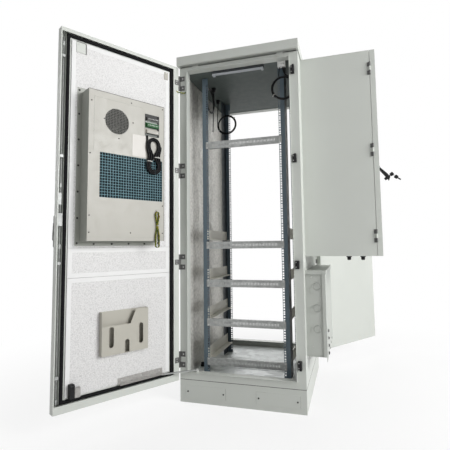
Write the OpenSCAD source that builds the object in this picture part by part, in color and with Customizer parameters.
/* [Cabinet body] */
// Width over the side walls
body_w = 725; // [680:5:800]
// Depth between the front and rear frame faces
body_d = 860; // [820:10:1000]
// Height of the plinth
plinth_h = 128; // [110:2:180]
// Height of the frames above the plinth
frame_h = 1868; // [1800:4:2000]
// Width of the frame stiles beside each door opening
stile_w = 49.5; // [44:0.5:60]
// Height of the sill above the plinth
sill_h = 41; // [36:1:60]
// Height of the head rail over the opening
head_h = 28; // [24:1:40]
// Depth of the front and rear frames
frame_d = 40; // [34:1:50]
// Height of the gutter lip round each opening
lip_h = 10; // [6:1:12]
// Thickness of the body sheet
sheet = 2; // [1.5:0.1:2.5]
// Thickness of the wall insulation
foam_t = 14; // [8:1:16]

/* [Roof] */
// How far the roof skirt stands out in front of each frame
roof_front = 37; // [30:1:60]
// How far the roof skirt stands out beyond each side wall
roof_side = 6; // [4:1:20]
// Height of the roof skirt
roof_h = 53; // [40:1:80]

/* [Doors] */
// Opening angle of the front door
front_angle = 120.6; // [95:0.1:121]
// Opening angle of the rear door
rear_angle = 124; // [95:0.5:125]
// Thickness of the front and rear doors
door_t = 40; // [36:1:44]
// Gap between a closed door and its frame
door_gap = 3; // [2.8:0.1:4]
// Width of the door gasket
gasket_w = 17; // [12:1:20]
// Thickness of the door gasket
gasket_t = 10; // [6:1:12]

/* [Rack] */
// Clear width between the rack posts
rack_in = 450; // [450:1:460]
// Distance from the front frame face to the rack face
rack_y = 130; // [125:1:160]
// Distance between the faces of the front and rear posts
rack_d = 500; // [460:10:520]
// Width of the drilled post flange
post_flange = 38; // [34:1:44]
// Depth of the post web
post_web = 100; // [60:5:110]
// Number of rack units on a post
rack_units = 40; // [30:1:40]

/* [Air conditioner] */
// Gap from the insulation's edge to the flange on the hinge side
ac_hinge_gap = 67; // [40:1:80]
// Gap from the flange to the insulation's edge on the lock side
ac_lock_gap = 32.5; // [20:0.5:60]
// Height of the air conditioner body
ac_h = 760; // [740:2:780]
// How far the body stands out from the door insulation
ac_in = 88; // [70:1:92]
// How far the outer cover stands out from the door skin
ac_out = 62; // [50:1:90]
// Width of the mounting flange round the body
ac_flange = 24; // [18:1:28]

/* [Side box] */
// How far the side box stands out from the wall
box_w = 387; // [350:1:420]
// Depth of the side box along the wall
box_d = 450; // [420:5:480]
// Height of the side box
box_h = 1164; // [1100:4:1180]
// Distance of the side box behind the front frame
box_y = 117; // [110:1:140]
// Thickness of the side box door
box_door_t = 28; // [24:1:32]

/* [Cable hood] */
// How far the hood stands out from the wall
hood_w = 109; // [90:1:120]
// Length of the hood along the wall
hood_d = 680; // [620:5:700]
// Height of the hood
hood_h = 466; // [440:2:480]
// Height of the hood above the floor
hood_z = 285; // [260:1:300]

/* [Hidden] */
$fn = 48;

// Overrun of every cut
lap = 1;
// Running clearance of pins and shafts, on the radius
run_gap = 0.05;
// Clearance between pieces that pass each other
pass_gap = 0.3;

// Main planes
half_w = body_w / 2;
front_y = -body_d / 2;
rear_y = body_d / 2;
frame_z0 = plinth_h;
frame_z1 = plinth_h + frame_h;
sill_z = frame_z0 + sill_h;
head_z = frame_z1 - head_h;
ceiling_z = head_z + sheet;
floor_z = frame_z0 + sheet;
half_open = half_w - stile_w;

// Plinth
plinth_wall = 2.5;
plinth_flange = 60;
anchor_r = 7;
anchor_inset = 35;
cover_w = 240;
cover_h = 68;
cover_t = 1.5;
cover_x_share = 0.287;
cover_z_share = 0.484;
cover_margin = 22;
cover_window_h = 44;

// Walls
wall_flange = 18;
box_cable_hole_r = 40;
box_cable_hole_z_share = 0.08;
hood_window_d_share = 0.5;
hood_window_h_share = 0.2;
hood_window_z_share = 0.5;

// Floor
entry_w = 380;
entry_d = 300;
entry_plates = 3;
entry_plate_lap = 12;
entry_plate_gap = 4;

// Roof
roof_tab_w = 36;
roof_tab_low = 18;
roof_tab_x_share = 0.717;
roof_lift = 3;
roof_return = 12;

// Door hinges: the axis lies outside the frame's corner
hinge_out = 2;
hinge_fwd = 8;
hinge_h = 90;
hinge_r = 7;
hinge_pin_r = 3.5;
hinge_leaf_w = 34;
hinge_leaf_t = 2.5;
hinge_leaf_gap = 0.5;
hinge_z_shares = [0.947, 0.6547, 0.3613, 0.0594];
hinge_x = -half_w - hinge_out;
hinge_y = front_y - hinge_fwd;

// Door section, measured from the hinge axis
door_edge_gap = 0.5;
door_free_gap = 13;
door_drop = 4;
door_top_gap = 1;
door_u0 = hinge_r + door_edge_gap;
door_u1 = body_w + hinge_out - door_free_gap;
door_z0 = frame_z0 - door_drop;
door_z1 = frame_z1 - door_top_gap;
door_in = hinge_fwd - door_gap;
door_out = door_in - door_t;
skin_in = door_out + sheet;
gasket_gap = 0.5;
gasket_in = hinge_fwd - lip_h - gasket_gap;
carrier_in = gasket_in - gasket_t;
return_gap = 6;
rod_return = 3;
gasket_lap = 5.5;
lip_u0 = half_w + hinge_out - half_open - sheet;
lip_u1 = half_w + hinge_out + half_open + sheet;
gasket_u0 = lip_u0 - gasket_lap;
gasket_u1 = lip_u1 + sheet;
gasket_z0 = sill_z - sheet - gasket_lap;
gasket_z1 = head_z + sheet + gasket_lap;
carrier_edge = 2;
carrier_w = 26;
foam_proud = 4.5;
foam_in = carrier_in + foam_proud;
foam_gap = 1;
foam_inset = carrier_w + foam_gap - carrier_edge;
foam_u0 = gasket_u0 + foam_inset;
foam_u1 = gasket_u1 - foam_inset;

// Front door details, heights above the door's lower edge
foam_seam_low = 622;
foam_seam_high = 769;
ac_u = foam_u0 + ac_hinge_gap + ac_flange;
ac_u1 = foam_u1 - ac_lock_gap - ac_flange;
ac_w = ac_u1 - ac_u;
ac_rise = 802;
ac_sheet = 1.5;
ac_face_y = foam_in + ac_in;
ac_z0 = door_z0 + ac_rise;
ac_z1 = ac_z0 + ac_h;
fan_grille_r = 67;
fan_u_share = 0.655;
fan_z_share = 0.813;
fan_hole = 6;
fan_pitch = 8.4;
fan_r = 62;
fan_hub_r = 20;
fan_depth = 26;
fan_blades = 7;
fan_blade_t = 2;
fan_blade_tilt = 35;
fan_face_gap = 8;
fan_shaft_r = 4;
motor_r = 26;
window_hinge_gap = 13;
window_lock_gap = 60;
window_h = 228;
window_z_share = 0.286;
window_u = ac_u + window_hinge_gap;
window_w = ac_w - window_hinge_gap - window_lock_gap;
guard_t = 1.5;
guard_cols = 25;
guard_rows = 16;
guard_bar_share = 0.32;
guard_frame = 4;
coil_d = 38;
coil_fins = 46;
coil_fin_share = 0.4;
coil_back = 6;
panel_w = 85;
panel_h = 121;
panel_u_share = 0.09;
panel_z_share = 0.757;
panel_t = 3;
panel_strip_h = 21;
panel_strip_d = 14;
panel_strip_margin = 6;
panel_strip_shares = [0.1, 0.4, 0.68];
stud_r = 4;
stud_h = 10;
stud_u_share = 0.112;
stud_z_share = 0.215;
cover_louvres = 14;
louvre_h = 9;
louvre_side = 34;
louvre_low_share = 0.08;
louvre_top_share = 0.46;
outer_fan_r = 130;
outer_fan_z_share = 0.74;
outer_ring_t = 5;
outer_rings = 6;
outer_spoke = 7;

// Document pocket
pocket_u = 224;
pocket_rise = 224;
pocket_w = 265;
pocket_h = 218;
pocket_d = 30;
pocket_t = 1.5;
pocket_side_share = 0.86;
pocket_valley_share = 0.56;
pocket_shoulder_share = 0.18;
pocket_valley_u_share = 0.34;
pocket_rise_u_share = 0.68;
pocket_slot_w = 26;
pocket_slot_h = 86;
pocket_slot_shares = [0.24, 0.76];
pocket_slot_z_share = 0.34;
pocket_foot_r = 22;

// Door stay: an arm on the sill and a rail on the door
stay_rail_u = 115;
stay_rail_w = 270;
stay_rail_rise = 63;
stay_rail_h = 29;
stay_rail_d = 32;
stay_rail_t = 2;
stay_slot_w = 10;
stay_slot_margin = 12;
stay_slot_y = 14;
stay_pivot_in = 100;
stay_pivot_back = 14;
stay_open_u = 124;
stay_arm_w = 16;
stay_arm_t = 4;
stay_arm_lift = 11;
stay_pin_r = 4;
stay_pin_gap = 0.6;
stay_head_r = 7;
stay_head_t = 2;
stay_head_gap = 0.4;
stay_foot_r = 9;

// Locks
keeper_z_shares = [0.9411, 0.6681, 0.3533, 0.0675];
keeper_h = 44;
keeper_base = 14;
keeper_slot = 10;
keeper_claw = 6;
keeper_web = 3;
keeper_u0 = gasket_u1 + carrier_edge + 2 * run_gap + sheet;
keeper_u1 = door_u1 - sheet - rod_return - sheet;
rod_r = 4;
rod_u = keeper_u0 + rod_r;
rod_y = skin_in + rod_r + sheet;
rod_tip_gap = 33;
tab_h = 14;
tab_t = 5;
tab_clear = 3;
guide_h = 22;
guide_wall = 2.5;
guide_z_shares = [0.962, 0.575, 0.415, 0.026];
lock_h = 62;
lock_d = 26;
lock_rise = 906;
lock_u = rod_u + rod_r + sheet;
lock_z = door_z0 + lock_rise;
lock_plate_h = 58;
lock_plate_w = 22;
lock_plate_t = 3;
lock_plate_lift = 75;

// Swing handle, measured from the spindle axis on the door skin
handle_w = 30;
handle_up = 26;
handle_down = 136;
handle_t = 20;
spindle_r = 7;
fork_gap = 12.6;
fork_cheek = 4;
fork_half_h = 8;
fork_reach = 15;
lift_pin_r = 3;
lift_out = 8;
lever_w = 24;
lever_len = 108;
lever_t = 13;
lever_end_t = 20;
lever_neck = 14;
barrel_r = 9;
barrel_h = 14;
barrel_share = 0.8;
barrel_slot_r = 12;
barrel_slot_run = 8;
cam_l = 38;
cam_w = 16;
cam_t = 3;
cam_gap = 6;
key_stem = 8;
key_stem_w = 8;
key_t = 2.5;
key_head = 22;
key_head_t = 7;
key_hole_r = 1.6;
key_ring_r = 16;
key_wire_r = 1;
key_blade = 22;
key_hang = -16;

// Side box handle
side_lift = 37;
side_handle_z_share = 0.485;
side_handle_inset = 34;

// Rack details
rack_unit = 44.45;
rack_hole = 9.5;
rack_hole_in = 7.55;
rack_hole_shares = [0.1429, 0.5, 0.8571];
rack_start = 18;
web_slot_l = 22;
web_slot_w = 8;
web_slots = 34;
bar_w = 482.6;
bar_h = 43.6;
bar_d = 20;
bar_z_shares = [0.7505, 0.4133, 0.2891, 0.1633, 0.0391];
bar_slots = 11;
bar_slot_h = 9;
bar_slot_share = 0.72;
bar_slot_row_share = 0.25;
rail_z_shares = [0.432, 0.2982, 0.1713, 0.0385];
rail_h = 64;
rail_shelf = 40;
rail_end_gap = 10;

// Lamp and terminal block
lamp_w = 320;
lamp_d = 40;
lamp_h = 10;
lamp_x = -8;
lamp_back = 62;
lamp_tube_r = 13;
lamp_cap_w = 14;
block_w = 45;
block_d = 24;
block_h = 32;
block_in = 73;
block_back = 42;
block_x = half_open - block_in;
block_lead_share = 0.667;
block_hole_r = 4;
block_holes = 3;

// Side box
box_x1 = half_w + box_w;
box_front = front_y + box_y;
box_top_gap = 2;
box_z1 = frame_z1 - box_top_gap;
box_z0 = box_z1 - box_h;
box_lip = 24;
box_gap = 2;
box_hinge_r = 5;
box_hinge_pin_r = 2.5;
box_hinge_h = 72;
box_hinge_leaf = 14;
box_hinge_z_shares = [0.907, 0.505, 0.094];
box_hinge_x = box_x1 + box_gap / 2;
box_hinge_y = box_front - box_hinge_r - pass_gap;
box_gasket_w = 12;
box_gasket_inset = 6;
box_plate_gap = 30;
box_plate_margin = 40;
box_post_r = 6;
din_w = 35;
din_d = 7.5;
din_z_shares = [0.35, 0.7];
din_margin = 20;

// Cable glands
gland_r = 11;
gland_nut_r = 15;
gland_nut_h = 9;
gland_dome_h = 17;
box_gland_x_shares = [0.62, 0.82];
box_gland_y_share = 0.3;
floor_gland_in = 44.5;
floor_gland_back = 24;
floor_gland_pitch = 64;
floor_glands = 2;
gland_mouth_z = ceiling_z - gland_nut_h - gland_dome_h;

// Cable hood
hood_cap_h = 19;
hood_cap_out = 4;
hood_face_recess = 6;
hood_flange = 18;
hood_y = 71;
hood_knockout_r = 22;
hood_knockout_t = 2;
hood_knockout_shares = [0.775, 0.54, 0.3];
hood_apron = 24;
hood_bolt_r = 7;
hood_bolt_h = 5;
hood_bolts = 4;
hood_front = front_y + hood_y;
hood_z1 = hood_z + hood_h;

// Coiled leads: each hangs from a gland in the ceiling or from the terminal block
lead_r = 3.5;
coil_bundle_r = 8;
coil_right_r = 67;
coil_right_drop = 158;
coil_front_r = 78;
coil_front_in = 119.5;
coil_front_back = 222;
coil_front_drop = 114;
coil_front_tail = 190;
coil_rear_r = 67;
coil_rear_in = 144.5;
coil_rear_back = 520;
coil_rear_drop = 190;
coil_right_at = [block_x + block_lead_share * block_w, front_y + block_back + block_d / 2,
  ceiling_z - coil_right_drop];
coil_front_at = [-half_w + coil_front_in, front_y + coil_front_back, ceiling_z - coil_front_drop];
coil_rear_at = [-half_w + coil_rear_in, front_y + coil_rear_back, ceiling_z - coil_rear_drop];
lead_gland_front = coil_front_at + [0, coil_front_r, 0];
lead_gland_rear = coil_rear_at - [coil_rear_r, 0, 0];
hank_w = 92;
hank_t = 28;
hank_u_share = 0.165;
hank_gap = 4;
hank_h = 208;
bundle_w = 25;
bundle_t = 16;
bundle_h = 196;

module block(x0, x1, y0, y1, z0, z1) {
  translate([x0, y0, z0]) cube([x1 - x0, y1 - y0, z1 - z0]);
}

module bar_y(r, y0, y1) {
  translate([0, y1, 0]) rotate([90, 0, 0]) cylinder(r = r, h = y1 - y0);
}

module bar_x(r, x0, x1) {
  translate([x0, 0, 0]) rotate([0, 90, 0]) cylinder(r = r, h = x1 - x0);
}

// Flat rectangle with round corners, centred
module round_rect(w, h, r) {
  square([w - 2 * r, h], center = true);
  square([w, h - 2 * r], center = true);
  for (sx = [-1, 1], sy = [-1, 1])
    translate([sx * (w / 2 - r), sy * (h / 2 - r)]) circle(r);
}

// Slot with round ends along X, centred
module slot_shape(l, w) {
  square([l - w, w], center = true);
  for (s = [-1, 1]) translate([s * (l - w) / 2, 0]) circle(w / 2);
}

// Upright plate drawn in X and Z, with its front face at y0
module upright(y0, t) {
  translate([0, y0 + t, 0]) rotate([90, 0, 0]) linear_extrude(t) children();
}

// Ring between two upright rectangles
module ring(u0, u1, z0, z1, w, y0, y1) {
  difference() {
    block(u0, u1, y0, y1, z0, z1);
    block(u0 + w, u1 - w, y0 - lap, y1 + lap, z0 + w, z1 - w);
  }
}

module on_front_door() {
  translate([hinge_x, hinge_y, 0]) rotate([0, 0, -front_angle]) children();
}

module on_rear_door() {
  translate([-hinge_x, -hinge_y, 0]) rotate([0, 0, 180 - rear_angle]) children();
}

module on_box_door() {
  translate([box_hinge_x, box_hinge_y, 0]) rotate([0, 0, 90]) children();
}

function frame_level(share) = frame_z0 + share * frame_h;
function door_level(share) = door_z0 + share * (door_z1 - door_z0);
function box_level(share) = box_z0 + share * box_h;

module plinth() color("gainsboro") {
  difference() {
    block(-half_w, half_w, front_y, rear_y, 0, plinth_h);
    block(-half_w + plinth_wall, half_w - plinth_wall, front_y + plinth_wall, rear_y - plinth_wall,
      plinth_wall, plinth_h - plinth_wall);
    block(-half_w + plinth_flange, half_w - plinth_flange, front_y + plinth_flange,
      rear_y - plinth_flange, -lap, plinth_h + lap);
    for (sx = [-1, 1], sy = [-1, 1])
      translate([sx * (half_w - anchor_inset), sy * (rear_y - anchor_inset), -lap])
        cylinder(r = anchor_r, h = plinth_wall + 2 * lap);
    for (sx = [-1, 1])
      translate([sx * cover_x_share * body_w, 0, cover_z_share * plinth_h])
        cube([cover_w - 2 * cover_margin, body_d + 2 * lap, cover_window_h], center = true);
  }
}

module plinth_covers() color("gainsboro") {
  for (sx = [-1, 1], side = [0, 180])
    rotate([0, 0, side]) translate([sx * cover_x_share * body_w, 0, cover_z_share * plinth_h])
      upright(front_y - cover_t, cover_t) round_rect(cover_w, cover_h, cover_t);
}

// Channel frame round a door opening, open to the inside of the cabinet
module opening_frame() {
  difference() {
    union() {
      block(-half_w, half_w, front_y, front_y + frame_d, frame_z0, frame_z1);
      block(-half_open - sheet, half_open + sheet, front_y - lip_h, front_y + sheet,
        sill_z - sheet, head_z + sheet);
    }
    block(-half_open, half_open, front_y - lip_h - lap, front_y + frame_d + lap, sill_z, head_z);
    difference() {
      block(-half_w + sheet, half_w - sheet, front_y + sheet, front_y + frame_d + lap,
        frame_z0 + sheet, frame_z1 - sheet);
      block(-half_open - sheet, half_open + sheet, front_y, front_y + frame_d + 2 * lap,
        sill_z - sheet, head_z + sheet);
    }
  }
}

// Pivot post of the door stay, welded on the sill
module stay_post() {
  translate([-half_w + stay_pivot_in, front_y + stay_pivot_back, sill_z]) {
    cylinder(r = stay_foot_r, h = stay_arm_lift - pass_gap);
    cylinder(r = stay_pin_r, h = stay_arm_lift + stay_arm_t + stay_head_gap + stay_head_t);
    translate([0, 0, stay_arm_lift + stay_arm_t + stay_head_gap])
      cylinder(r = stay_head_r, h = stay_head_t);
  }
}

module front_frame() color("gainsboro") {
  opening_frame();
  stay_post();
}

module rear_frame() color("gainsboro") rotate([0, 0, 180]) opening_frame();

// Folded wall pan on the right-hand side
module wall_pan() {
  difference() {
    block(half_w - wall_flange, half_w, front_y + frame_d, rear_y - frame_d, frame_z0, frame_z1);
    block(half_w - wall_flange - lap, half_w - sheet, front_y + frame_d + sheet,
      rear_y - frame_d - sheet, frame_z0 + sheet, frame_z1 - sheet);
  }
}

module wall_foam() {
  block(half_w - sheet - foam_t, half_w - sheet, front_y + frame_d + sheet, rear_y - frame_d - sheet,
    frame_z0 + sheet, frame_z1 - sheet);
}

// Cable ways through the right wall, behind the side box and the hood
module wall_cable_ways() {
  translate([0, box_front + box_d / 2, box_level(box_cable_hole_z_share)])
    bar_x(box_cable_hole_r, half_w - wall_flange - lap, half_w + lap);
  translate([half_w, hood_front + hood_d / 2, hood_z + hood_window_z_share * hood_h])
    cube([2 * wall_flange, hood_window_d_share * hood_d, hood_window_h_share * hood_h], center = true);
}

module left_wall() color("gainsboro") mirror([1, 0, 0]) wall_pan();

module right_wall() color("gainsboro") difference() {
  wall_pan();
  wall_cable_ways();
}

module wall_insulation() color("silver") {
  mirror([1, 0, 0]) wall_foam();
  difference() {
    wall_foam();
    wall_cable_ways();
  }
}

module floor_pan() color("lightgray") {
  half = half_w - wall_flange;
  plate_d = (entry_d + 2 * entry_plate_lap - (entry_plates - 1) * entry_plate_gap) / entry_plates;
  difference() {
    block(-half, half, front_y + frame_d, rear_y - frame_d, frame_z0, floor_z);
    block(-entry_w / 2, entry_w / 2, -entry_d / 2, entry_d / 2, frame_z0 - lap, floor_z + lap);
  }
  for (i = [0 : entry_plates - 1])
    translate([0, -entry_d / 2 - entry_plate_lap + i * (plate_d + entry_plate_gap), 0])
      block(-entry_w / 2 - entry_plate_lap, entry_w / 2 + entry_plate_lap, 0, plate_d,
        floor_z + run_gap, floor_z + sheet);
}

// Cable gland standing on its mouth, with the nut below and the dome on top
module gland() {
  cylinder(r = gland_nut_r, h = gland_nut_h, $fn = 6);
  rotate_extrude() difference() {
    union() {
      square([gland_r, gland_nut_h + gland_dome_h - gland_r / 2]);
      translate([0, gland_nut_h]) square([gland_r - gland_r / 2, gland_dome_h]);
      translate([gland_r / 2, gland_nut_h + gland_dome_h - gland_r / 2]) circle(gland_r / 2);
    }
    translate([-2 * gland_r, 0]) square([2 * gland_r, 2 * (gland_nut_h + gland_dome_h)]);
  }
}

module cable_glands() color("dimgray") {
  for (share = box_gland_x_shares)
    translate([half_w + share * box_w, box_front + box_gland_y_share * box_d, box_z0])
      mirror([0, 0, 1]) gland();
  floor_y = front_y + rack_y + post_web + floor_gland_back;
  for (i = [0 : floor_glands - 1])
    translate([-half_w + floor_gland_in, floor_y + i * floor_gland_pitch, floor_z]) gland();
  for (at = [lead_gland_front, lead_gland_rear])
    translate([at[0], at[1], ceiling_z]) mirror([0, 0, 1]) gland();
}

module ceiling_panel() color("gray") {
  half = half_w - wall_flange;
  difference() {
    block(-half, half, front_y + frame_d, rear_y - frame_d, ceiling_z, frame_z1);
    block(-half + sheet, half - sheet, front_y + frame_d + sheet, rear_y - frame_d - sheet,
      ceiling_z + sheet, frame_z1 + lap);
  }
}

module roof_cap() color("whitesmoke") {
  x1 = half_w + roof_side;
  y1 = rear_y + roof_front;
  low = frame_z1 + roof_lift;
  top = low + roof_h;
  difference() {
    block(-x1, x1, -y1, y1, low, top);
    block(-x1 + sheet, x1 - sheet, -y1 + sheet, y1 - sheet, low + sheet, top - sheet);
    block(-x1 + roof_return, x1 - roof_return, -y1 + roof_return, y1 - roof_return, low - lap,
      low + sheet + lap);
  }
  for (sx = [-1, 1], side = [0, 180])
    rotate([0, 0, side]) translate([sx * roof_tab_x_share * half_w, 0, 0]) {
      block(-roof_tab_w / 2, roof_tab_w / 2, front_y - sheet, front_y, frame_z1 - roof_tab_low, top - lap);
      block(-roof_tab_w / 2, roof_tab_w / 2, front_y - sheet, front_y + frame_d, frame_z1,
        frame_z1 + sheet);
    }
}

// Rack post on the front right, its drilled flange facing forward
module rack_post() {
  post_h = ceiling_z - floor_z;
  x0 = rack_in / 2;
  y0 = front_y + rack_y;
  upright(y0, sheet) difference() {
    translate([x0, floor_z]) square([post_flange, post_h]);
    for (unit_no = [0 : rack_units - 1], share = rack_hole_shares)
      translate([x0 + rack_hole_in, floor_z + rack_start + (unit_no + share) * rack_unit])
        square(rack_hole, center = true);
  }
  translate([x0 + post_flange - sheet, 0, 0]) rotate([90, 0, 90]) linear_extrude(sheet) difference() {
    translate([y0, floor_z]) square([post_web, post_h]);
    for (i = [0 : web_slots - 1])
      translate([y0 + post_web / 2, floor_z + (i + 1 / 2) * post_h / web_slots])
        rotate(90) slot_shape(web_slot_l, web_slot_w);
  }
}

// Reflection of a front post about the middle of the rack
module at_rack_rear() {
  translate([0, 2 * (front_y + rack_y) + rack_d, 0]) mirror([0, 1, 0]) children();
}

module rack_posts_front() color("slategray") {
  for (side = [0, 1]) mirror([side, 0, 0]) rack_post();
}

module rack_posts_rear() color("slategray") at_rack_rear() {
  for (side = [0, 1]) mirror([side, 0, 0]) rack_post();
}

module cross_bar() {
  inner = rack_in / 2 - sheet;
  step = 2 * inner / bar_slots;
  y1 = front_y + rack_y;
  upright(y1 - sheet, sheet) difference() {
    square([bar_w, bar_h], center = true);
    for (i = [0 : bar_slots - 1], row = [-1, 1])
      translate([-inner + (i + 1 / 2) * step, row * bar_slot_row_share * bar_h])
        slot_shape(bar_slot_share * step, bar_slot_h);
  }
  for (s = [-1, 1])
    translate([0, 0, s * (bar_h - sheet) / 2])
      block(-inner, inner, y1 - sheet, y1 - sheet + bar_d, -sheet / 2, sheet / 2);
}

module cross_bars() color("lightgray") {
  for (share = bar_z_shares) translate([0, 0, frame_level(share)]) cross_bar();
}

module support_rail() {
  x1 = rack_in / 2 + post_flange - sheet;
  y0 = front_y + rack_y + sheet + rail_end_gap;
  y1 = front_y + rack_y + rack_d - sheet - rail_end_gap;
  block(x1 - sheet, x1, y0, y1, 0, rail_h);
  block(x1 - rail_shelf, x1, y0, y1, 0, sheet);
}

module support_rails() color("darkkhaki") {
  for (share = rail_z_shares, side = [0, 1])
    translate([0, 0, frame_level(share)]) mirror([side, 0, 0]) support_rail();
}

// Hooked keeper in plan, measured from a door hinge axis
module keeper() {
  base_y = hinge_fwd - keeper_base;
  slot_y = base_y - keeper_slot;
  linear_extrude(keeper_h, center = true) {
    translate([keeper_u0, base_y]) square([keeper_u1 - keeper_u0, keeper_base]);
    translate([keeper_u1 - keeper_web, slot_y - keeper_claw])
      square([keeper_web, keeper_slot + keeper_claw + keeper_web]);
    translate([rod_u + rod_r + sheet, slot_y - keeper_claw])
      square([keeper_u1 - rod_u - rod_r - sheet, keeper_claw]);
  }
}

module lock_keepers() color("black") {
  for (side = [0, 180]) rotate([0, 0, side]) translate([hinge_x, hinge_y, 0])
    for (share = keeper_z_shares) translate([0, 0, frame_level(share)]) keeper();
}

// Frame half of a door hinge with its pin, on the hinge axis
module hinge_frame_half(h, r, pin_r, leaf_w, leaf_y, leaf_t) {
  knuckle = h / 3;
  for (s = [-1, 1]) translate([0, 0, s * knuckle]) {
    cylinder(r = r, h = knuckle - 2 * pass_gap, center = true);
    translate([0, 0, -(knuckle - 2 * pass_gap) / 2])
      linear_extrude(knuckle - 2 * pass_gap) translate([0, leaf_y]) square([leaf_w, leaf_t]);
  }
  cylinder(r = pin_r, h = h - lap, center = true);
}

module frame_hinges() color("silver") {
  for (side = [0, 180], share = hinge_z_shares) rotate([0, 0, side])
    translate([hinge_x, hinge_y, frame_level(share)])
      hinge_frame_half(hinge_h, hinge_r, hinge_pin_r, hinge_leaf_w, hinge_fwd - hinge_leaf_t, hinge_leaf_t);
  for (share = box_hinge_z_shares)
    translate([box_hinge_x, box_hinge_y, box_level(share)]) mirror([1, 0, 0])
      hinge_frame_half(box_hinge_h, box_hinge_r, box_hinge_pin_r, box_hinge_leaf,
        box_front - box_hinge_y - sheet, sheet);
}

// Door half of a hinge: one knuckle between the frame's two
module hinge_door_half(h, r, pin_r, leaf_w, leaf_y, leaf_t) {
  knuckle = h / 3 - 2 * pass_gap;
  difference() {
    union() {
      cylinder(r = r, h = knuckle, center = true);
      translate([0, 0, -knuckle / 2]) linear_extrude(knuckle)
        translate([0, leaf_y]) square([leaf_w, leaf_t]);
    }
    cylinder(r = pin_r + run_gap, h = h, center = true);
  }
}

module front_door_hinges() color("silver") on_front_door() {
  for (share = hinge_z_shares) translate([0, 0, frame_level(share)])
    hinge_door_half(hinge_h, hinge_r, hinge_pin_r, hinge_leaf_w, door_in, door_gap - hinge_leaf_gap);
}

module led_lamp() color("white") {
  y = front_y + lamp_back;
  block(lamp_x - lamp_w / 2, lamp_x + lamp_w / 2, y - lamp_d / 2, y + lamp_d / 2, ceiling_z - lamp_h,
    ceiling_z);
  translate([lamp_x, y, ceiling_z - lamp_h]) {
    intersection() {
      bar_x(lamp_tube_r, -lamp_w / 2 + lamp_cap_w, lamp_w / 2 - lamp_cap_w);
      block(-lamp_w / 2, lamp_w / 2, -lamp_d, lamp_d, -lamp_d, 0);
    }
    for (s = [-1, 1]) translate([s * (lamp_w - lamp_cap_w) / 2, 0, 0])
      block(-lamp_cap_w / 2, lamp_cap_w / 2, -lamp_tube_r - sheet, lamp_tube_r + sheet,
        -lamp_tube_r - sheet, 0);
  }
}

module terminal_block() color("white") {
  step = block_w / block_holes;
  difference() {
    translate([block_x, front_y + block_back, ceiling_z - block_h]) cube([block_w, block_d, block_h]);
    for (i = [0 : block_holes - 1])
      translate([block_x + (i + 1 / 2) * step, front_y + block_back, ceiling_z - block_h / 2])
        bar_y(block_hole_r, -lap, block_d / 2);
  }
}

module side_box() color("lightgray") {
  difference() {
    block(half_w, box_x1, box_front, box_front + box_d, box_z0, box_z1);
    block(half_w + sheet, box_x1 - sheet, box_front + sheet, box_front + box_d - sheet, box_z0 + sheet,
      box_z1 - sheet);
    block(box_x1 - 2 * sheet, box_x1 + lap, box_front + box_lip, box_front + box_d - box_lip,
      box_z0 + box_lip, box_z1 - box_lip);
    translate([0, box_front + box_d / 2, box_level(box_cable_hole_z_share)])
      bar_x(box_cable_hole_r, half_w - lap, half_w + 2 * sheet);
  }
}

// Mounting plate on posts, with two top-hat rails
module side_box_plate() color("silver") {
  x0 = half_w + box_plate_gap;
  y0 = box_front + box_plate_margin;
  y1 = box_front + box_d - box_plate_margin;
  z0 = box_z0 + 2 * box_plate_margin + 2 * box_cable_hole_r;
  z1 = box_z1 - box_plate_margin;
  block(x0, x0 + sheet, y0, y1, z0, z1);
  for (y = [y0 + box_plate_margin, y1 - box_plate_margin], z = [z0 + box_plate_margin, z1 - box_plate_margin])
    translate([0, y, z]) bar_x(box_post_r, half_w + sheet, x0);
  for (share = din_z_shares) translate([x0 + sheet, 0, z0 + share * (z1 - z0)])
    rotate([-90, 0, 0]) translate([0, 0, y0 + din_margin]) linear_extrude(y1 - y0 - 2 * din_margin) {
      translate([0, -din_w / 4]) square([sheet / 2, din_w / 2]);
      for (s = [-1, 1]) mirror([0, (1 - s) / 2]) {
        translate([0, din_w / 4]) square([din_d, sheet / 2]);
        translate([din_d - sheet / 2, din_w / 4]) square([sheet / 2, din_w / 4]);
      }
    }
}

module cable_hood() color("gainsboro") {
  x1 = half_w + hood_w;
  y1 = hood_front + hood_d;
  z1 = hood_z1 - hood_cap_h;
  face_y = hood_front + hood_face_recess;
  difference() {
    block(half_w, x1, hood_front, y1, hood_z, z1);
    block(half_w - lap, x1 - sheet, face_y + sheet, y1 - sheet, hood_z - lap, z1 + lap);
    block(half_w + sheet, x1 - hood_flange, hood_front - lap, face_y, hood_z + sheet, z1 + lap);
  }
  block(x1 - sheet, x1, hood_front, y1, hood_z - hood_apron, hood_z + lap);
  for (share = hood_knockout_shares)
    translate([half_w + (hood_w - hood_flange) / 2, 0, hood_z + share * hood_h])
      bar_y(hood_knockout_r, face_y - hood_knockout_t, face_y + lap);
  for (i = [0 : hood_bolts - 1])
    translate([0, hood_front + (i + 1) * hood_d / (hood_bolts + 1), hood_z - hood_apron / 2])
      bar_x(hood_bolt_r, x1 - lap, x1 + hood_bolt_h, $fn = 6);
}

module hood_cap() color("gainsboro") {
  x1 = half_w + hood_w + hood_cap_out;
  y0 = hood_front - hood_cap_out;
  y1 = hood_front + hood_d + hood_cap_out;
  z0 = hood_z1 - hood_cap_h;
  difference() {
    block(half_w, x1, y0, y1, z0, hood_z1);
    block(half_w - lap, x1 - hood_cap_out - sheet, hood_front + hood_face_recess, y1 - hood_cap_out - sheet,
      z0 - lap, hood_z1 - sheet);
  }
}

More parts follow.
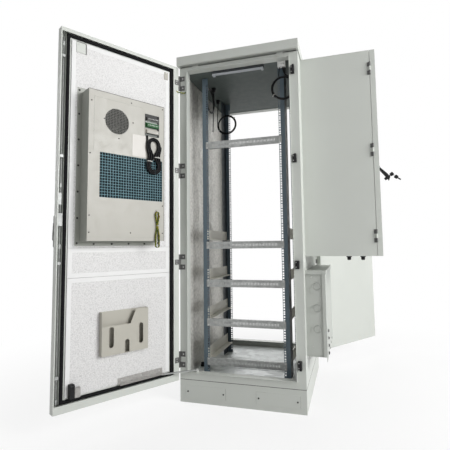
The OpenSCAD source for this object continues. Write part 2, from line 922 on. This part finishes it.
// Folded door pan with its welded gasket carrier; children are cut out
module door_pan() {
  difference() {
    union() {
      difference() {
        block(door_u0, door_u1, door_out, door_in, door_z0, door_z1);
        block(door_u0 + sheet, door_u1 - sheet, skin_in, door_in - sheet, door_z0 + sheet, door_z1 - sheet);
        block(lip_u0 - return_gap, door_u1 - sheet - rod_return, skin_in, door_in + lap,
          sill_z - sheet - return_gap, head_z + sheet + return_gap);
      }
      ring(gasket_u0 - carrier_edge, gasket_u1 + carrier_edge, gasket_z0 - carrier_edge,
        gasket_z1 + carrier_edge, carrier_w, carrier_in - sheet, carrier_in);
      ring(gasket_u0 - carrier_edge, gasket_u1 + carrier_edge, gasket_z0 - carrier_edge,
        gasket_z1 + carrier_edge, sheet, door_out, carrier_in);
    }
    children();
  }
}

module door_gasket() {
  ring(gasket_u0, gasket_u1, gasket_z0, gasket_z1, gasket_w, carrier_in, gasket_in);
}

// Foam board between two heights, inside the gasket carrier
module door_foam(z0, z1) {
  block(foam_u0, foam_u1, skin_in, foam_in, max(z0, gasket_z0 + foam_inset),
    min(z1, gasket_z1 - foam_inset));
}

module spindle_hole(u, z) {
  translate([u, 0, z]) bar_y(spindle_r + run_gap, door_out - lap, skin_in + lap);
}

module ac_hole(gap) {
  block(ac_u - gap, ac_u1 + gap, door_out - lap, foam_in + lap, ac_z0 - gap, ac_z1 + gap);
}

module front_door_panel() color("gainsboro") on_front_door() door_pan() {
  ac_hole(pass_gap);
  spindle_hole(lock_u, lock_z);
}

module front_door_gasket() color("black") on_front_door() door_gasket();

module front_door_insulation() color("whitesmoke") on_front_door() {
  low = door_z0 + foam_seam_low;
  high = door_z0 + foam_seam_high;
  door_foam(door_z0, low - foam_gap);
  door_foam(low, high - foam_gap);
  difference() {
    door_foam(high, door_z1);
    ac_hole(pass_gap);
  }
}

// Base of a swing handle on the outer skin, notched on the side where the barrel swings out
module handle_base() {
  barrel_z = -barrel_share * lever_len;
  difference() {
    upright(-handle_t, handle_t) translate([0, (handle_up - handle_down) / 2])
      round_rect(handle_w, handle_up + handle_down, handle_w / 3);
    bar_y(spindle_r + run_gap, -handle_t - lap, lap);
    for (s = [-1, 1]) translate([0, 0, barrel_z + s * barrel_slot_run])
      bar_y(barrel_slot_r, -handle_t - lap, lap);
    block(-handle_w, barrel_slot_r, -handle_t - lap, lap, barrel_z - barrel_slot_run,
      barrel_z + barrel_slot_run);
    block(-handle_w, 0, -handle_t - lap, lap, barrel_z - barrel_slot_r,
      barrel_z + barrel_slot_r + barrel_slot_run);
  }
}

// Spindle through base and skin, with the fork and pin of the lever
module handle_spindle(reach) {
  fork_y = -handle_t - pass_gap;
  bar_y(spindle_r, fork_y - lap, reach);
  for (s = [-1, 1]) translate([s * (fork_gap + fork_cheek) / 2, 0, 0])
    block(-fork_cheek / 2, fork_cheek / 2, fork_y - fork_reach, fork_y, -fork_half_h, fork_half_h);
  block(-fork_gap / 2 - fork_cheek, fork_gap / 2 + fork_cheek, fork_y - sheet / 2, fork_y,
    -fork_half_h, fork_half_h);
  translate([0, fork_y - lift_out, 0])
    bar_x(lift_pin_r, -fork_gap / 2 - fork_cheek, fork_gap / 2 + fork_cheek);
}

// Lever lifted about its pin, with its lock barrel
module handle_lever(lift) {
  pin_y = -handle_t - pass_gap - lift_out;
  root_r = lift_out - sheet;
  back = lift_out - pass_gap;
  translate([0, pin_y, 0]) rotate([-lift, 0, 0]) {
    difference() {
      union() {
        bar_x(root_r, -fork_gap / 2 + pass_gap, fork_gap / 2 - pass_gap);
        translate([-fork_gap / 2 + pass_gap, 0, 0]) rotate([90, 0, 90])
          linear_extrude(fork_gap - 2 * pass_gap)
            polygon([[root_r, 0], [root_r, -lever_neck - lap], [-root_r, -lever_neck - lap], [-root_r, 0]]);
        translate([-lever_w / 2, 0, 0]) rotate([90, 0, 90]) linear_extrude(lever_w)
          polygon([[back, -lever_neck], [back, -lever_len], [back - lever_end_t, -lever_len + lever_t],
            [back - lever_end_t, -lever_len + 2 * lever_end_t], [back - lever_t, -lever_neck]]);
      }
      bar_x(lift_pin_r + run_gap, -lever_w, lever_w);
    }
    translate([0, 0, -barrel_share * lever_len]) bar_y(barrel_r, back - lap, back + barrel_h);
  }
}

// Square key head in Y and Z with a hole for the ring
module key_plate() {
  translate([-key_head_t / 2, 0, 0]) rotate([90, 0, 90]) linear_extrude(key_head_t) difference() {
    round_rect(key_head, key_head, key_head / 4);
    circle(key_hole_r);
  }
}

// Keys of the side box: one in the lock, one hanging from it on a ring
module handle_keys(lift) {
  pin_y = -handle_t - pass_gap - lift_out;
  front = lift_out - pass_gap - lever_end_t;
  translate([0, pin_y, 0]) rotate([-lift, 0, 0])
    translate([0, front - key_stem - key_head / 2, -barrel_share * lever_len]) {
      key_plate();
      block(-key_t / 2, key_t / 2, key_head / 2 - lap, key_head / 2 + key_stem + lap, -key_stem_w / 2,
        key_stem_w / 2);
      rotate([key_hang, 0, 0]) {
        translate([0, 0, -key_ring_r]) rotate([90, 0, 0]) rotate_extrude()
          translate([key_ring_r, 0]) circle(key_wire_r);
        translate([0, 0, -2 * key_ring_r]) {
          key_plate();
          block(-key_t / 2, key_t / 2, -key_stem_w / 2, key_stem_w / 2, -key_head / 2 - key_blade,
            -key_head / 2 + lap);
        }
      }
    }
}

module on_lock(u, z) {
  translate([u, door_out, z]) children();
}

module front_handle_base() color("black") on_front_door() on_lock(lock_u, lock_z)
  mirror([1, 0, 0]) handle_base();

module front_handle_spindle() color("dimgray") on_front_door() on_lock(lock_u, lock_z)
  handle_spindle(sheet + lock_d / 2);

module front_handle_lever() color("black") on_front_door() on_lock(lock_u, lock_z) handle_lever(0);

// Lock case, cover plate and the guides that the rods run in
module lock_set() {
  plate_y = rod_y + rod_r + pass_gap;
  difference() {
    block(keeper_u0, keeper_u1, skin_in, skin_in + lock_d, lock_z - lock_h / 2, lock_z + lock_h / 2);
    translate([lock_u, 0, lock_z]) bar_y(spindle_r + run_gap, skin_in - lap, skin_in + lock_d / 2 + lap);
  }
  translate([0, 0, lock_z + lock_plate_lift]) {
    block(keeper_u0, keeper_u0 + lock_plate_w, plate_y, plate_y + lock_plate_t, 0, lock_plate_h);
    block(lock_u, keeper_u0 + lock_plate_w, skin_in, plate_y + lap, 0, lock_plate_h);
  }
  for (share = guide_z_shares) translate([0, 0, door_level(share)]) difference() {
    block(rod_u - rod_r - guide_wall / 2, rod_u + rod_r + guide_wall / 2, skin_in, rod_y + rod_r + guide_wall,
      -guide_h / 2, guide_h / 2);
    translate([rod_u, rod_y, -guide_h]) cylinder(r = rod_r + run_gap, h = 2 * guide_h);
  }
}

module lock_fittings() color("silver") on_front_door() lock_set();

// Hook on a lock rod, below its keeper when dir is 1 and above it when -1
module rod_hook(share, dir) {
  far = keeper_h / 2 + tab_clear;
  base_y = hinge_fwd - keeper_base;
  tab_y = base_y - keeper_slot / 2;
  level = frame_level(share) - dir * (far + tab_h / 2);
  translate([0, 0, level]) {
    block(rod_u - rod_r / 2, rod_u + rod_r / 2, rod_y, tab_y, -tab_h / 2, tab_h / 2);
    block(rod_u - rod_r / 2, keeper_u1 - keeper_web - sheet, tab_y - tab_t / 2, tab_y + tab_t / 2,
      -tab_h / 2, tab_h / 2);
  }
}

module lock_rod(z0, z1) {
  translate([rod_u, rod_y, z0]) cylinder(r = rod_r, h = z1 - z0);
}

module upper_rod() {
  lock_rod(lock_z + lock_h / 2 + pass_gap, door_z1 - rod_tip_gap);
  for (i = [0, 1]) rod_hook(keeper_z_shares[i], 1);
}

module lower_rod() {
  lock_rod(door_z0 + rod_tip_gap, lock_z - lock_h / 2 - pass_gap);
  for (i = [2, 3]) rod_hook(keeper_z_shares[i], -1);
}

module front_upper_rod() color("silver") on_front_door() upper_rod();
module front_lower_rod() color("silver") on_front_door() lower_rod();
module rear_upper_rod() color("silver") on_rear_door() upper_rod();
module rear_lower_rod() color("silver") on_rear_door() lower_rod();

// Housing through the door, open to the face panel and to the outer cover
module ac_housing() color("darkgray") on_front_door() {
  back = door_out;
  front = ac_face_y - ac_sheet;
  difference() {
    block(ac_u, ac_u1, back, front, ac_z0, ac_z1);
    block(ac_u + ac_sheet, ac_u1 - ac_sheet, back - lap, front + lap, ac_z0 + ac_sheet, ac_z1 - ac_sheet);
  }
  difference() {
    block(ac_u - ac_flange, ac_u1 + ac_flange, foam_in, foam_in + ac_sheet, ac_z0 - ac_flange,
      ac_z1 + ac_flange);
    block(ac_u + ac_sheet / 2, ac_u1 - ac_sheet / 2, foam_in - lap, foam_in + ac_sheet + lap,
      ac_z0 + ac_sheet / 2, ac_z1 - ac_sheet / 2);
  }
  // Middle wall between the inner and outer air, with the fan motor
  block(ac_u, ac_u1, back, back + ac_sheet, ac_z0, ac_z1);
  translate([ac_u + fan_u_share * ac_w, 0, ac_z0 + fan_z_share * ac_h]) {
    bar_y(motor_r, back, fan_back() - pass_gap);
    bar_y(fan_shaft_r, back, ac_face_y - fan_face_gap - fan_depth / 2);
  }
}

function fan_back() = ac_face_y - fan_face_gap - fan_depth;

module fan_grille_shape() {
  steps = floor(fan_grille_r / fan_pitch);
  for (i = [-steps : steps], k = [-steps : steps])
    if (norm([i, k]) * fan_pitch + fan_hole / 2 < fan_grille_r)
      translate([i * fan_pitch, k * fan_pitch]) square(fan_hole, center = true);
}

module ac_face_panel() color("antiquewhite") on_front_door() {
  upright(ac_face_y - ac_sheet, ac_sheet) difference() {
    translate([ac_u, ac_z0]) square([ac_w, ac_h]);
    translate([window_u, ac_z0 + window_z_share * ac_h]) square([window_w, window_h]);
    translate([ac_u + fan_u_share * ac_w, ac_z0 + fan_z_share * ac_h]) fan_grille_shape();
  }
  translate([ac_u + stud_u_share * ac_w, 0, ac_z0 + stud_z_share * ac_h])
    bar_y(stud_r, ac_face_y - ac_sheet, ac_face_y + stud_h);
}

// Square mesh over the coil, behind the face panel
module ac_coil_guard() color("cadetblue") on_front_door() {
  step_u = window_w / guard_cols;
  step_z = window_h / guard_rows;
  hole_u = step_u * (1 - guard_bar_share);
  hole_z = step_z * (1 - guard_bar_share);
  upright(ac_face_y - ac_sheet - guard_t, guard_t)
    translate([window_u, ac_z0 + window_z_share * ac_h]) difference() {
      translate([-guard_frame, -guard_frame])
        square([window_w + 2 * guard_frame, window_h + 2 * guard_frame]);
      for (i = [0 : guard_cols - 1], k = [0 : guard_rows - 1])
        translate([(i + 1 / 2) * step_u, (k + 1 / 2) * step_z]) square([hole_u, hole_z], center = true);
    }
}

// Finned coil, with its fins on a back plate
module ac_coil() color("teal") on_front_door() {
  front = ac_face_y - ac_sheet - guard_t;
  u0 = window_u;
  z0 = ac_z0 + window_z_share * ac_h;
  step = window_w / coil_fins;
  block(u0, u0 + window_w, front - coil_d, front - coil_d + coil_back, z0, z0 + window_h);
  for (i = [0 : coil_fins - 1])
    block(u0 + i * step, u0 + (i + coil_fin_share) * step, front - coil_d, front, z0, z0 + window_h);
}

module ac_fan() color("dimgray") on_front_door() {
  y1 = ac_face_y - fan_face_gap;
  translate([ac_u + fan_u_share * ac_w, 0, ac_z0 + fan_z_share * ac_h]) difference() {
    union() {
      bar_y(fan_hub_r, y1 - fan_depth, y1);
      intersection() {
        difference() {
          bar_y(fan_r, y1 - fan_depth, y1);
          bar_y(fan_hub_r - sheet, y1 - 2 * fan_depth, y1 + fan_depth);
        }
        for (i = [0 : fan_blades - 1]) rotate([0, i * 360 / fan_blades, 0])
          translate([(fan_r + fan_hub_r) / 2, y1 - fan_depth / 2, 0]) rotate([fan_blade_tilt, 0, 0])
            cube([fan_r, 2 * fan_depth, fan_blade_t], center = true);
      }
    }
    bar_y(fan_shaft_r + run_gap, y1 - 2 * fan_depth, y1 - fan_depth / 2 + pass_gap);
  }
}

module ac_control_panel() color("darkgray") on_front_door()
  translate([ac_u + panel_u_share * ac_w, 0, ac_z0 + panel_z_share * ac_h]) {
    block(0, panel_w, ac_face_y, ac_face_y + panel_t, 0, panel_h);
    for (share = panel_strip_shares)
      block(panel_strip_margin, panel_w - panel_strip_margin, ac_face_y, ac_face_y + panel_strip_d,
        share * panel_h, share * panel_h + panel_strip_h);
  }

// Outer cover with a ringed fan opening over a bank of louvres
module ac_outer_cover() color("gainsboro") on_front_door() {
  front = door_out - ac_out;
  u0 = ac_u - ac_flange;
  u1 = ac_u1 + ac_flange;
  z0 = ac_z0 - ac_flange;
  z1 = ac_z1 + ac_flange;
  pitch = (louvre_top_share - louvre_low_share) * ac_h / cover_louvres;
  ring_step = outer_fan_r / outer_rings;
  difference() {
    block(u0, u1, front, door_out, z0, z1);
    block(u0 + ac_sheet, u1 - ac_sheet, front + ac_sheet, door_out + lap, z0 + ac_sheet, z1 - ac_sheet);
    for (i = [0 : cover_louvres - 1])
      translate([0, 0, z0 + louvre_low_share * ac_h + i * pitch])
        block(u0 + louvre_side, u1 - louvre_side, front - lap, front + 2 * ac_sheet, 0, louvre_h);
    translate([(u0 + u1) / 2, 0, ac_z0 + outer_fan_z_share * ac_h])
      difference() {
        bar_y(outer_fan_r, front - lap, front + 2 * ac_sheet);
        for (i = [1 : outer_rings - 1]) difference() {
          bar_y(i * ring_step + outer_ring_t / 2, front - 2 * lap, front + 3 * ac_sheet);
          bar_y(i * ring_step - outer_ring_t / 2, front - 3 * lap, front + 4 * ac_sheet);
        }
        for (a = [0 : 60 : 120]) rotate([0, a, 0])
          block(-outer_fan_r, outer_fan_r, front - 2 * lap, front + 3 * ac_sheet, -outer_spoke / 2,
            outer_spoke / 2);
      }
  }
}

// Sheet pocket whose front dips in a V, with two finger slots
module document_pocket() color("darkgray") on_front_door()
  translate([pocket_u, 0, door_z0 + pocket_rise]) {
    shoulder = pocket_side_share * pocket_h;
    block(0, pocket_w, foam_in, foam_in + pocket_t, 0, pocket_h);
    difference() {
      block(0, pocket_w, foam_in, foam_in + pocket_d, 0, pocket_h);
      block(pocket_t, pocket_w - pocket_t, foam_in + pocket_t, foam_in + pocket_d - pocket_t, pocket_t,
        pocket_h + lap);
      upright(foam_in + pocket_t, pocket_d) polygon([[-lap, shoulder],
        [pocket_shoulder_share * pocket_w, shoulder],
        [pocket_valley_u_share * pocket_w, pocket_valley_share * pocket_h],
        [pocket_rise_u_share * pocket_w, pocket_h], [pocket_w + lap, pocket_h],
        [pocket_w + lap, pocket_h + lap], [-lap, pocket_h + lap]]);
      upright(foam_in + pocket_d / 2, pocket_d) {
        for (share = pocket_slot_shares)
          translate([share * pocket_w, pocket_slot_z_share * pocket_h]) rotate(90)
            slot_shape(pocket_slot_h, pocket_slot_w);
        translate([pocket_w / 2, 0]) circle(pocket_foot_r);
      }
    }
  }

// Rail for the stay: a screwed flange and a slotted shelf
module stay_rail() color("gainsboro") on_front_door() translate([stay_rail_u, 0, door_z0 + stay_rail_rise]) {
  block(0, stay_rail_w, foam_in, foam_in + stay_rail_t, 0, stay_rail_h);
  difference() {
    block(0, stay_rail_w, foam_in, foam_in + stay_rail_d, 0, stay_rail_t);
    translate([stay_rail_w / 2, foam_in + stay_slot_y, -lap]) linear_extrude(stay_rail_t + 2 * lap)
      slot_shape(stay_rail_w - 2 * stay_slot_margin, stay_slot_w);
  }
}

// Stay arm from the sill post to the rail, at the door's open angle
module stay_arm() color("silver") {
  pivot = [-half_w + stay_pivot_in, front_y + stay_pivot_back];
  slot_y = foam_in + stay_slot_y;
  end = [hinge_x + stay_open_u * cos(front_angle) + slot_y * sin(front_angle),
    hinge_y - stay_open_u * sin(front_angle) + slot_y * cos(front_angle)];
  reach = norm(end - pivot);
  z0 = sill_z + stay_arm_lift;
  head_z1 = door_z0 + stay_rail_rise - stay_pin_gap;
  translate([pivot[0], pivot[1], z0]) rotate([0, 0, atan2(end[1] - pivot[1], end[0] - pivot[0])]) {
    difference() {
      linear_extrude(stay_arm_t) translate([reach / 2, 0]) slot_shape(reach + stay_arm_w, stay_arm_w);
      translate([0, 0, -lap]) cylinder(r = stay_pin_r + run_gap, h = stay_arm_t + 2 * lap);
    }
    translate([reach, 0, 0]) cylinder(r = stay_pin_r, h = head_z1 - z0);
  }
}

module rear_door_panel() color("gainsboro") on_rear_door() {
  door_pan() spindle_hole(lock_u, lock_z);
  lock_set();
  for (share = hinge_z_shares) translate([0, 0, frame_level(share)])
    hinge_door_half(hinge_h, hinge_r, hinge_pin_r, hinge_leaf_w, door_in - sheet / 2,
      door_gap - hinge_leaf_gap + sheet / 2);
}

module rear_door_gasket() color("black") on_rear_door() door_gasket();

module rear_door_insulation() color("whitesmoke") on_rear_door() {
  low = door_z0 + foam_seam_high;
  door_foam(door_z0, low - foam_gap);
  door_foam(low, door_z1);
}

module rear_handle_base() color("black") on_rear_door() on_lock(lock_u, lock_z)
  mirror([1, 0, 0]) handle_base();

module rear_handle_spindle() color("dimgray") on_rear_door() on_lock(lock_u, lock_z)
  handle_spindle(sheet + lock_d / 2);

module rear_handle_lever() color("black") on_rear_door() on_lock(lock_u, lock_z)
  handle_lever(0);

// Side box door, measured from its hinge axis
box_u0 = box_hinge_r + pass_gap;
box_u1 = box_u0 + box_d;
box_in = -box_gap / 2;
box_out = box_in - box_door_t;
box_handle_u = box_u1 - side_handle_inset;
box_handle_z = box_level(side_handle_z_share);
box_carrier = box_in - box_gasket_inset;

module side_box_door() color("lightgray") on_box_door() {
  seat = box_gasket_w + 2 * sheet;
  difference() {
    union() {
      difference() {
        block(box_u0, box_u1, box_out, box_in, box_z0, box_z1);
        block(box_u0 + sheet, box_u1 - sheet, box_out + sheet, box_in + lap, box_z0 + sheet, box_z1 - sheet);
      }
      ring(box_u0 + sheet, box_u1 - sheet, box_z0 + sheet, box_z1 - sheet, seat, box_carrier - sheet,
        box_carrier);
    }
    translate([box_handle_u, 0, box_handle_z]) bar_y(spindle_r + run_gap, box_out - lap, box_out + 2 * sheet);
  }
  for (share = box_hinge_z_shares) translate([0, 0, box_level(share)]) box_door_knuckle();
  color("black") ring(box_u0 + 2 * sheet, box_u1 - 2 * sheet, box_z0 + 2 * sheet, box_z1 - 2 * sheet,
    box_gasket_w, box_carrier + run_gap, box_in);
}

// Knuckle of the side box door, with its leaf on the door's front edge
module box_door_knuckle() {
  knuckle = box_hinge_h / 3 - 2 * pass_gap;
  difference() {
    union() {
      cylinder(r = box_hinge_r, h = knuckle, center = true);
      block(box_u0 - sheet, box_u0, -box_hinge_leaf, 0, -knuckle / 2, knuckle / 2);
    }
    cylinder(r = box_hinge_pin_r + run_gap, h = box_hinge_h, center = true);
  }
}

module on_side_lock() {
  on_box_door() translate([box_handle_u, box_out, box_handle_z]) children();
}

module side_handle_base() color("black") on_side_lock() handle_base();

// Spindle with a cam that stands upright when unlocked, behind the box's flange
module side_handle_spindle() color("dimgray") on_side_lock() {
  cam_y = box_door_t + box_gap + sheet + cam_gap;
  handle_spindle(cam_y + cam_t);
  upright(cam_y, cam_t) translate([0, (cam_l - cam_w) / 2]) rotate(90) slot_shape(cam_l, cam_w);
}

module side_handle_lever() color("black") on_side_lock() {
  handle_lever(side_lift);
  handle_keys(side_lift);
}

// Coil of a lead, upright in X and Z
module coil_ring(at, r) {
  translate(at) rotate([90, 0, 0]) rotate_extrude() translate([r, 0]) circle(coil_bundle_r);
}

// Stretch of a lead that hangs straight down
module lead_down(at, top, low) {
  translate([at[0], at[1], low]) cylinder(r = lead_r, h = top - low);
}

module coil_right() color("black") {
  coil_ring(coil_right_at, coil_right_r);
  lead_down(coil_right_at, ceiling_z - block_h, coil_right_at[2] + coil_right_r);
}

module coil_left_front() color("black") {
  translate(coil_front_at) rotate([0, 90, 0]) rotate_extrude() translate([coil_front_r, 0])
    circle(coil_bundle_r);
  lead_down(lead_gland_front, gland_mouth_z, coil_front_at[2] - coil_front_tail);
}

module coil_left_rear() color("black") {
  coil_ring(coil_rear_at, coil_rear_r);
  lead_down(lead_gland_rear, gland_mouth_z, coil_rear_at[2]);
}

// Supply lead folded into a hank on the air conditioner's face
module ac_cord_hank() color("black") on_front_door()
  translate([ac_u + hank_u_share * ac_w, ac_face_y + pass_gap, ac_z0 + panel_z_share * ac_h - hank_gap])
    upright(0, hank_t) translate([0, -hank_h / 2]) rotate(90) slot_shape(hank_h, hank_w);

module earth_bundle() color("yellowgreen") on_front_door()
  translate([ac_u + stud_u_share * ac_w, ac_face_y + pass_gap,
      ac_z0 + stud_z_share * ac_h - stud_r - pass_gap])
    upright(0, bundle_t) translate([0, -bundle_h / 2]) rotate(90) slot_shape(bundle_h, bundle_w);

plinth();
plinth_covers();
front_frame();
rear_frame();
left_wall();
right_wall();
floor_pan();
cable_glands();
ceiling_panel();
roof_cap();
wall_insulation();
rack_posts_front();
rack_posts_rear();
cross_bars();
support_rails();
lock_keepers();
frame_hinges();
led_lamp();
terminal_block();
side_box();
side_box_plate();
cable_hood();
hood_cap();
front_door_panel();
front_door_gasket();
front_door_insulation();
front_door_hinges();
front_handle_base();
lock_fittings();
ac_housing();
ac_face_panel();
ac_coil_guard();
ac_coil();
ac_control_panel();
ac_outer_cover();
document_pocket();
stay_rail();
ac_fan();
front_handle_spindle();
front_handle_lever();
front_upper_rod();
front_lower_rod();
stay_arm();
rear_door_panel();
rear_door_gasket();
rear_door_insulation();
rear_handle_base();
rear_handle_spindle();
rear_handle_lever();
rear_upper_rod();
rear_lower_rod();
side_box_door();
side_handle_base();
side_handle_spindle();
side_handle_lever();
coil_right();
coil_left_front();
coil_left_rear();
ac_cord_hank();
earth_bundle();
